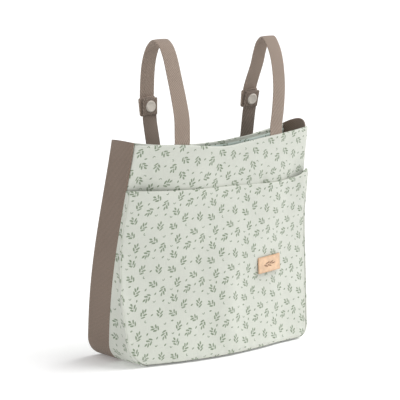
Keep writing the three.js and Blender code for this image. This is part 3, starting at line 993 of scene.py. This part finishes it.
def build_band():
    near = np.array([0, 0.1, 0.25, 0.5, 1.0]) * 0.001 / BAND_WIDTH
    across = np.concatenate([near, np.linspace(near[-1], 1 - near[-1], 23)[1:-1], 1 - near[::-1]])
    points, stations = band_grid(0.0, 0.0, across)
    inwards = inward_normals(points)
    cloth = grid_lengths(points)[..., ::-1]
    cloth[..., 0] = (across[None, :] - 0.5) * BAND_WIDTH
    fall = edge_thickness(across, BAND_WIDTH, BAND_THICKNESS)[None, :] + 0 * points[..., 0]
    rim = RIM_Z - stations[:, 1]
    fall = np.maximum(fall, fold_back(rim, BAND_THICKNESS / 2)[:, None])
    outer = points + inwards * fall[..., None]
    inner = points + inwards * (BAND_THICKNESS - fall)[..., None]
    band = closed_slab("gusset_band_webbing", outer, inner, cloth, BAND_WEB)
    finish_piece(band, "webbing", "gusset_band")
    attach(band, "bag")
    seams = []
    for share in (0.045, 0.955):
        column = np.argmin(np.abs(across - share))
        seams.append(stitch_line(points[:, column] - inwards[:, column] * 0.00005, -inwards[:, column]))
    stitches("band_stitches", seams, 0.00032)
    lining_across = np.linspace(0, 1, 15)
    inset = BAND_THICKNESS + CLEAR
    lining, stations = band_grid(inset, PANEL_DEPTH - MM, lining_across)
    inwards = inward_normals(lining)
    cloth = grid_lengths(lining)
    below = np.flatnonzero(stations[:, 1] < RIM_Z - HEM_DEPTH)
    keep = slice(below[0], below[-1] + 1)
    under = lining + inwards * LINING
    sheet = closed_slab("band_lining", lining[keep], under[keep], cloth[keep], COTTON_LINING)
    finish_piece(sheet, "lining", "gusset_band_lining")
    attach(sheet, "bag")


def build_pocket_gusset():
    across = np.linspace(0, 1, 25)

    def back(q, z):
        return lean_at(z) - CLEAR

    corners = ((POCKET_CORNER, RIGHT_POCKET_CORNER), (BODY_CORNER, BODY_CORNER))
    points, stations = strip_surface(corners, (pocket_face, back), 0.0, MOUTH_Z, across, True)
    inwards = inward_normals(points)
    height = stations[:, 1][:, None]
    valley = np.sin(np.pi * across)[None, :] ** 1.5
    width = np.linalg.norm(points[:, -1] - points[:, 0], axis=-1)[:, None]
    low = np.clip((height - 0.004) / 0.10, 0, 1)
    depth = np.clip(width * 0.16, 0, 0.007) * smoothed(low)
    waves = ripple(points, 0.06, 31) * 0.0006 * valley * low
    moved = points + inwards * (depth * valley + waves)[..., None]
    cloth = grid_lengths(points)[..., ::-1]
    under = moved + inwards * GUSSET_THICKNESS
    gusset = closed_slab("pocket_gusset_cloth", moved, under, cloth, COTTON_SIDE)
    finish_piece(gusset, "fabric", "pocket_gusset")
    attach(gusset, "bag")


# ---------------------------------------------------------------- stitches
def ring_faces(first, rings, size):
    """Faces between rings of points that follow each other, from the point numbered first."""
    faces = []
    for k in range(rings - 1):
        for j in range(size):
            a, b = first + k * size + j, first + k * size + (j + 1) % size
            faces.append((a, b, b + size, a + size))
    return faces


def stitch_line(points, normals, pitch=0.0034, share=0.66):
    """Start, end and normal of each stitch along a line of points."""
    steps = np.linalg.norm(np.diff(points, axis=0), axis=-1)
    length = np.concatenate([[0], np.cumsum(steps)])
    count = max(1, int(length[-1] / pitch))
    starts = (np.arange(count) + 0.5 - share / 2) * length[-1] / count
    ends = starts + share * length[-1] / count
    def at(where, values):
        return np.stack([np.interp(where, length, values[:, k]) for k in range(3)], axis=1)
    return at(starts, points), at(ends, points), at((starts + ends) / 2, normals)


def stitches(name, lines, radius, body="bag"):
    """One mesh of small rounded stitches lying on a surface."""
    ring = np.linspace(0, 2 * np.pi, 7)[:-1]
    profile = [(0.0, 0.35), (0.15, 0.85), (0.5, 1.0), (0.85, 0.85), (1.0, 0.35)]
    verts, faces = [], []
    for starts, ends, normals in lines:
        for a, b, n in zip(starts, ends, normals):
            along = unit(b - a)
            side = unit(np.cross(along, n))
            up = np.cross(side, along)
            first = len(verts)
            for share, size in profile:
                middle = a + (b - a) * share
                for angle in ring:
                    verts.append(middle + radius * size * (side * np.cos(angle) + up * np.sin(angle) * 0.8))
            faces += ring_faces(first, len(profile), 6)
            faces.append(tuple(first + j for j in range(6))[::-1])
            faces.append(tuple(len(verts) - 6 + j for j in range(6)))
    mesh = bpy.data.meshes.new(name)
    mesh.from_pydata([tuple(v) for v in verts], [], faces)
    mesh.polygons.foreach_set("use_smooth", [True] * len(mesh.polygons))
    mesh.materials.append(THREAD)
    obj = add_object(name, mesh)
    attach(obj, body)


# ---------------------------------------------------------------- straps
# Each snap's middle: x in metres, y and z in mm from the band's front edge and the rim, tilt in degrees.
# The strap's line is a loop of (y, z) points in mm from the same two places.
STRAPS = [
    dict(
        side="left", x=-0.088, y=62, z=42, tilt=0,
        loop=[(-17, 8), (-16, 31), (-9, 58), (2, 91), (12, 118), (22, 133), (35, 139.5),
              (49, 131), (59, 113), (64, 91)],
    ),
    dict(
        side="right", x=0.088, y=43, z=44, tilt=14,
        loop=[(-17, 8), (-20.5, 30), (-23, 68), (-18, 104), (-10, 124), (3, 138),
              (14, 131), (22, 114), (27, 98)],
    ),
]
SNAP_SPACE = 0.0034
TAB_TURN = 7
TAB_WIDTH, TAB_LENGTH, BLOCK_LENGTH = 0.029, 0.027, 0.025


def from_snap(strap, n, t):
    """World y and z of a point n behind the snap's middle and t above it."""
    angle = math.radians(strap["tilt"])
    y = FRONT_Y + strap["y"] * MM + n * math.cos(angle) - t * math.sin(angle)
    z = RIM_Z + strap["z"] * MM + n * math.sin(angle) + t * math.cos(angle)
    return y, z


def smooth_line(points, count):
    """Centripetal spline through (y, z) points, sampled evenly."""
    p = np.array(points, float)
    p = np.concatenate([[2 * p[0] - p[1]], p, [2 * p[-1] - p[-2]]])
    out = []
    for i in range(1, len(p) - 2):
        p0, p1, p2, p3 = p[i - 1:i + 3]
        t0 = 0.0
        t1 = t0 + max(np.linalg.norm(p1 - p0), 1e-9) ** 0.5
        t2 = t1 + max(np.linalg.norm(p2 - p1), 1e-9) ** 0.5
        t3 = t2 + max(np.linalg.norm(p3 - p2), 1e-9) ** 0.5
        for t in np.linspace(t1, t2, 20, endpoint=False):
            a1 = p0 * (t1 - t) / (t1 - t0) + p1 * (t - t0) / (t1 - t0)
            a2 = p1 * (t2 - t) / (t2 - t1) + p2 * (t - t1) / (t2 - t1)
            a3 = p2 * (t3 - t) / (t3 - t2) + p3 * (t - t2) / (t3 - t2)
            b1 = a1 * (t2 - t) / (t2 - t0) + a2 * (t - t0) / (t2 - t0)
            b2 = a2 * (t3 - t) / (t3 - t1) + a3 * (t - t1) / (t3 - t1)
            out.append(b1 * (t2 - t) / (t2 - t1) + b2 * (t - t1) / (t2 - t1))
    out.append(p[-2])
    out = np.array(out)
    length = np.concatenate([[0], np.cumsum(np.linalg.norm(np.diff(out, axis=0), axis=-1))])
    even = np.linspace(0, length[-1], count)
    return np.stack([np.interp(even, length, out[:, k]) for k in range(2)], axis=1), even


def seam_point(panel, x, depth):
    """Middle of the seam inside a body panel, at a depth below the rim."""
    z = RIM_Z - depth
    q = x / half_width(z, BODY_CORNER, BAND_THICKNESS + CLEAR)
    row = min(z + panel["sag"] * (1 - q * q) * (z / RIM_Z) ** SAG_POWER, RIM_Z)
    return float(panel["surface"](q, row)) + panel["inwards"] * 0.003, z


def seam_slope(panel, x, depth):
    """How fast a panel's seam moves back along x, over the width of a strap."""
    left, right = [seam_point(panel, x + side * STRAP_WIDTH / 2, depth)[0] for side in (-1, 1)]
    return (right - left) / STRAP_WIDTH


def edge_spaced(width, near, inner, count):
    """Places across a width, centred on 0, with the near ones, in mm, close to both edges."""
    near = np.array(near) * MM
    middle = np.linspace(inner, width - inner, count)
    return np.concatenate([near, middle, width - near[::-1]]) - width / 2


def ribbon(name, x, line, lengths, slope, material, wave=0.0):
    """Flat tape with rounded edges along a line in the y-z plane; its first end lies on a panel."""
    across = edge_spaced(STRAP_WIDTH, (0, 0.08, 0.2, 0.45, 0.9), 0.0022, 11)
    tangent = np.gradient(line, axis=0)
    tangent /= np.linalg.norm(tangent, axis=-1, keepdims=True)
    share = lengths / lengths[-1]
    turn = slope * np.clip(1 - (1.5 * share) ** 2, 0, 1)[:, None] * across[None, :]
    cup = 0.0006 * (1 - (2 * across / STRAP_WIDTH) ** 2)[None, :] * np.sin(np.pi * share)[:, None] ** 0.5
    cup = cup + wave * np.sin(lengths * 40 + 0.7)[:, None] * (across / STRAP_WIDTH)[None, :]
    middle = np.zeros((len(line), len(across), 3))
    middle[..., 0] = x + across[None, :]
    middle[..., 1] = line[:, 0, None] + turn - tangent[:, 1, None] * cup
    middle[..., 2] = line[:, 1, None] + tangent[:, 0, None] * cup
    normal = np.stack([np.zeros(len(line)), -tangent[:, 1], tangent[:, 0]], axis=1)[:, None]
    fall = fold_back(STRAP_WIDTH / 2 - np.abs(across), STRAP_THICKNESS / 2)[None, :]
    half = (STRAP_THICKNESS / 2 - fall)[..., None]
    cloth = np.zeros(middle.shape[:2] + (2,))
    cloth[..., 0] = across[None, :]
    cloth[..., 1] = lengths[:, None]
    return closed_slab(name, middle + normal * half, middle - normal * half, cloth, material)


def turned(x, z, spin):
    """A point of a block turned by an angle about the snap's middle."""
    return x * math.cos(spin) - z * math.sin(spin), x * math.sin(spin) + z * math.cos(spin)


def rounded_block(name, strap, n, thickness, width, length, turn, corner, material):
    """Doubled end of tape: a flat block with rounded corners and soft edges, centred on the snap."""
    count = 9
    angles = np.linspace(0, np.pi / 2, count)
    outline_points = []
    for quarter, (sx, sy) in enumerate(((1, 1), (-1, 1), (-1, -1), (1, -1))):
        centre = np.array([sx * (width / 2 - corner), sy * (length / 2 - corner)])
        for angle in angles + quarter * np.pi / 2:
            outline_points.append(centre + corner * np.array([math.cos(angle), math.sin(angle)]))
    rim = np.array(outline_points)
    layers = [
        (0.00, thickness / 2), (0.80, thickness / 2),
        (0.955, thickness / 2 - 0.00002), (0.985, thickness / 2 - 0.0003),
        (1.00, 0.0006), (0.988, 0.00012), (0.988, -0.00012), (1.00, -0.0006),
        (0.985, 0.0003 - thickness / 2), (0.955, 0.00002 - thickness / 2),
        (0.80, -thickness / 2), (0.00, -thickness / 2),
    ]
    spin = math.radians(turn)
    verts, cloth = [], []
    for share, lift in layers:
        for px, pz in rim * share:
            sx, sz = turned(px, pz, spin)
            y, z = from_snap(strap, n + lift, sz)
            verts.append((strap["x"] + sx, y, z))
            cloth.append((px, pz))
    faces = ring_faces(0, len(layers), len(rim))
    obj = object_from(name, np.array(verts), np.array(faces), np.array(cloth), material)
    fix_block(obj)
    return obj


def fix_block(obj):
    """Joins the doubled middle points and faces the surface outwards."""
    bm = bmesh.new()
    bm.from_mesh(obj.data)
    bmesh.ops.remove_doubles(bm, verts=bm.verts, dist=1e-7)
    bmesh.ops.recalc_face_normals(bm, faces=bm.faces)
    bm.to_mesh(obj.data)
    bm.free()


def block_stitches(name, strap, n, width, length, inset, body):
    """A rectangle of stitches just inside the edge of a block, on its front face."""
    w, h = width / 2 - inset, length / 2 - inset
    corners = [(-w, -h), (w, -h), (w, h), (-w, h), (-w, -h)]
    angle = math.radians(strap["tilt"])
    normal = np.array([0, -math.cos(angle), -math.sin(angle)])
    lines = []
    for (x0, z0), (x1, z1) in zip(corners[:-1], corners[1:]):
        points = []
        for t in np.linspace(0, 1, 12):
            px, pz = x0 + (x1 - x0) * t, z0 + (z1 - z0) * t
            points.append((strap["x"] + px, *from_snap(strap, n, pz)))
        normals = np.repeat(normal[None], len(points), axis=0)
        lines.append(stitch_line(np.array(points), normals, pitch=0.0026))
    stitches(name, lines, 0.00026, body)


def lathe(name, strap, profile, body, node):
    """Turned snap part from (radius, n) points in mm, with creases kept soft by close rings."""
    count = 48
    angles = np.linspace(0, 2 * np.pi, count + 1)[:-1]
    verts = []
    for radius, n in profile:
        for angle in angles:
            y, z = from_snap(strap, n * MM, radius * MM * math.sin(angle))
            verts.append((strap["x"] + radius * MM * math.cos(angle), y, z))
    faces = ring_faces(0, len(profile), count)
    obj = object_from(name, np.array(verts), np.array(faces), np.zeros((len(verts), 2)), SNAP_PLASTIC)
    fix_block(obj)
    finish_piece(obj, "snap", node)
    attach(obj, body)


CAP_PROFILE = [
    (0.0, 1.15), (2.5, 1.16), (4.6, 1.22), (5.2, 1.38), (5.7, 1.62), (6.4, 1.78), (7.2, 1.74), (7.9, 1.45),
    (8.4, 0.95), (8.6, 0.5), (8.5, 0.12), (8.2, 0.0), (1.5, 0.0), (0.0, 0.0),
]


def build_snap(strap):
    side = strap["side"]
    cloth_face = SNAP_SPACE / 2 + 2 * STRAP_THICKNESS
    outside = cloth_face / MM + 0.05
    lathe(f"{side}_snap_front", strap, [(r, -outside - n) for r, n in CAP_PROFILE],
          f"{side}_lower", f"{side}_snap_inner_cap")
    lathe(f"{side}_snap_back", strap, [(r, outside + n) for r, n in CAP_PROFILE],
          f"{side}_tab", f"{side}_snap_outer_cap")
    face = SNAP_SPACE / 2 / MM
    lathe(f"{side}_snap_post", strap, [(0, -face), (6.2, -face), (6.2, -face + 0.7), (5.8, -face + 1.0),
                                       (2.5, -face + 1.05), (2.9, 0.5), (2.4, 0.95), (0, 1.0)],
          f"{side}_lower", f"{side}_snap_stud")
    lathe(f"{side}_snap_ring", strap, [(3.3, 1.3), (3.3, -0.2), (3.6, -0.35), (5.8, -0.35), (6.2, 0.0),
                                       (6.2, face), (0, face), (0, 1.3), (3.3, 1.3)],
          f"{side}_tab", f"{side}_snap_socket")


def build_strap(strap):
    side, x = strap["side"], strap["x"]
    tab_n = SNAP_SPACE / 2 + STRAP_THICKNESS
    loop = [(FRONT_Y + y * MM, RIM_Z + z * MM) for y, z in strap["loop"]]
    sewn = [seam_point(FRONT, x, depth) for depth in (0.0085, 0.0045)]
    slope = seam_slope(FRONT, x, 0.008)
    hidden = tab_n + STRAP_THICKNESS / 2
    tail = [from_snap(strap, hidden, TAB_LENGTH / 2 + 0.004), from_snap(strap, hidden, 0.004)]
    points = sewn + loop + tail
    line, lengths = smooth_line(points, 150)
    strip = ribbon(f"{side}_strap", x, line, lengths, slope, STRAP_WEB, wave=0.0006)
    finish_piece(strip, "webbing", f"{side}_strap_front", f"{side}_strap_rear")
    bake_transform(strip)
    tab = rounded_block(f"{side}_tab_end", strap, tab_n, 2 * STRAP_THICKNESS, TAB_WIDTH, TAB_LENGTH,
                        TAB_TURN, 0.003, STRAP_WEB)
    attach(tab, f"{side}_tab")

    block_n = -SNAP_SPACE / 2 - STRAP_THICKNESS
    outer = -SNAP_SPACE / 2 - STRAP_THICKNESS / 2
    sewn = [seam_point(BACK, x, depth) for depth in (0.0182, 0.0168, 0.0150)]
    points = sewn + [from_snap(strap, outer, -BLOCK_LENGTH / 2 - 0.006), from_snap(strap, outer, -0.004)]
    line, lengths = smooth_line(points, 60)
    short = ribbon(f"{side}_short_tape", x, line, lengths, seam_slope(BACK, x, 0.020), SHADED_SHORT_WEB)
    finish_piece(short, "webbing", f"{side}_short_strap_sewn_end", f"{side}_short_strap")
    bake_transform(short)
    block = rounded_block(f"{side}_short_end", strap, block_n, 2 * STRAP_THICKNESS, STRAP_WIDTH, BLOCK_LENGTH,
                          0, 0.0012, SHADED_SHORT_WEB)
    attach(block, f"{side}_lower")
    block_stitches(f"{side}_short_stitches", strap, block_n - STRAP_THICKNESS, STRAP_WIDTH, BLOCK_LENGTH,
                   0.0022, f"{side}_lower")
    build_snap(strap)


# ---------------------------------------------------------------- label
def build_label():
    low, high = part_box("label")
    width, height = LABEL_WIDTH, LABEL_HEIGHT
    centre_x, centre_z = (low[0] + high[0]) / 2, (low[2] + high[2]) / 2
    near = (0, 0.06, 0.16, 0.34, 0.6)
    us, vs = edge_spaced(width, near, 0.0012, 25), edge_spaced(height, near, 0.0012, 13)
    u, v = np.meshgrid(us, vs, indexing="ij")
    lean = math.radians(LABEL_LEAN)
    x = centre_x + u * math.cos(lean) - v * math.sin(lean)
    z = centre_z + u * math.sin(lean) + v * math.cos(lean)
    q = x / half_width(z, POCKET_CORNER, GUSSET_THICKNESS + CLEAR)
    points = np.stack([x, pocket_y(q, z), z], axis=-1)
    outwards = grid_normals(points)
    outwards = outwards if outwards[0, 0, 1] < 0 else -outwards
    edge = np.minimum(width / 2 - np.abs(u), height / 2 - np.abs(v))
    fall = fold_back(edge, 0.0006)
    back = points + outwards * (LABEL_GAP + 0.3 * fall)[..., None]
    front = points + outwards * (LABEL_GAP + LABEL_THICKNESS - fall)[..., None]
    label = closed_slab("leather_label", front, back, np.stack([u, v], axis=-1), LABEL_LEATHER)
    finish_piece(label, "leather", "label")
    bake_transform(label)


# ---------------------------------------------------------------- the whole bag
add_camera()
add_stage()
build_panels()
build_band()
build_pocket_gusset()
build_label()
for each in STRAPS:
    build_strap(each)
